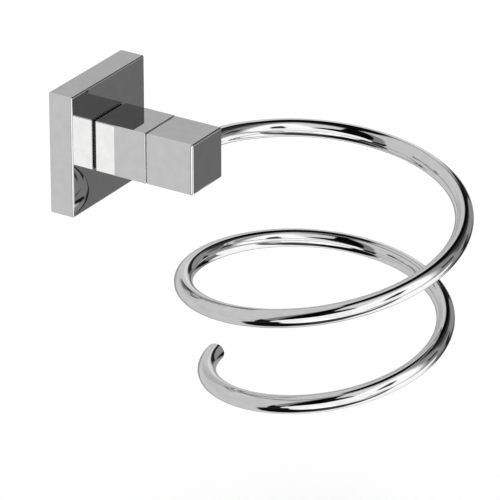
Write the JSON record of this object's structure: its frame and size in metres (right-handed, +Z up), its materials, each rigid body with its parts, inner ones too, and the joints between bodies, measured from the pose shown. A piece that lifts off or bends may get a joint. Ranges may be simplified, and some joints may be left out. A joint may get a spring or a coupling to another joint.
{
  "type": "hair dryer holder",
  "caption": "Wall-mounted hair dryer holder: square cover plate, short square arm with an end block, and a round rod wound into an open tapering spiral that cradles the dryer.",
  "frame": {"origin": "centre of the cover plate's back, on the wall surface", "axes": "+Y into the wall, so the arm points along -Y; +X to the right when facing the wall; +Z up"},
  "size_m": [0.1144, 0.1551, 0.1147],
  "materials": {
    "rose_chrome": "mirror-polished chrome plate",
    "arm_chrome": "mirror-polished chrome plate",
    "rod_chrome": "mirror-polished chrome plate on a drawn round rod",
    "neck_chrome": "turned and plated, slightly dull",
    "joint_black": "black moulded spacer",
    "bracket_steel": "zinc-plated folded sheet steel",
    "screw_steel": "stainless steel",
    "washer_steel": "spring steel, zinc-plated",
    "dowel_steel": "ground steel"
  },
  "bodies": {
    "bracket": {"wall_bracket": "bracket_steel"},
    "arm": {"rose_cover": "rose_chrome", "post_base_ring": "joint_black", "post": "arm_chrome", "block_joint_ring": "neck_chrome", "end_block": "arm_chrome", "spiral_rod": "rod_chrome", "tie_bolt": "screw_steel", "tie_lock_washer": "washer_steel", "rose_dowel": "dowel_steel", "block_dowel": "dowel_steel"},
    "rose_screw": {"rose_grub_screw": "screw_steel"},
    "rod_screw": {"rod_set_screw": "screw_steel"}
  },
  "joints": [
    {"name": "arm_lift_off", "type": "slide", "parent": "bracket", "child": "arm", "axis": [0, -1, 0], "range_m": [0, 0.02]},
    {"name": "rose_screw_travel", "type": "slide", "parent": "arm", "child": "rose_screw", "axis": [0, 0, -1], "range_m": [0, 0.002]},
    {"name": "rod_screw_travel", "type": "slide", "parent": "arm", "child": "rod_screw", "axis": [0, 0, -1], "range_m": [0, 0.003]}
  ]
}
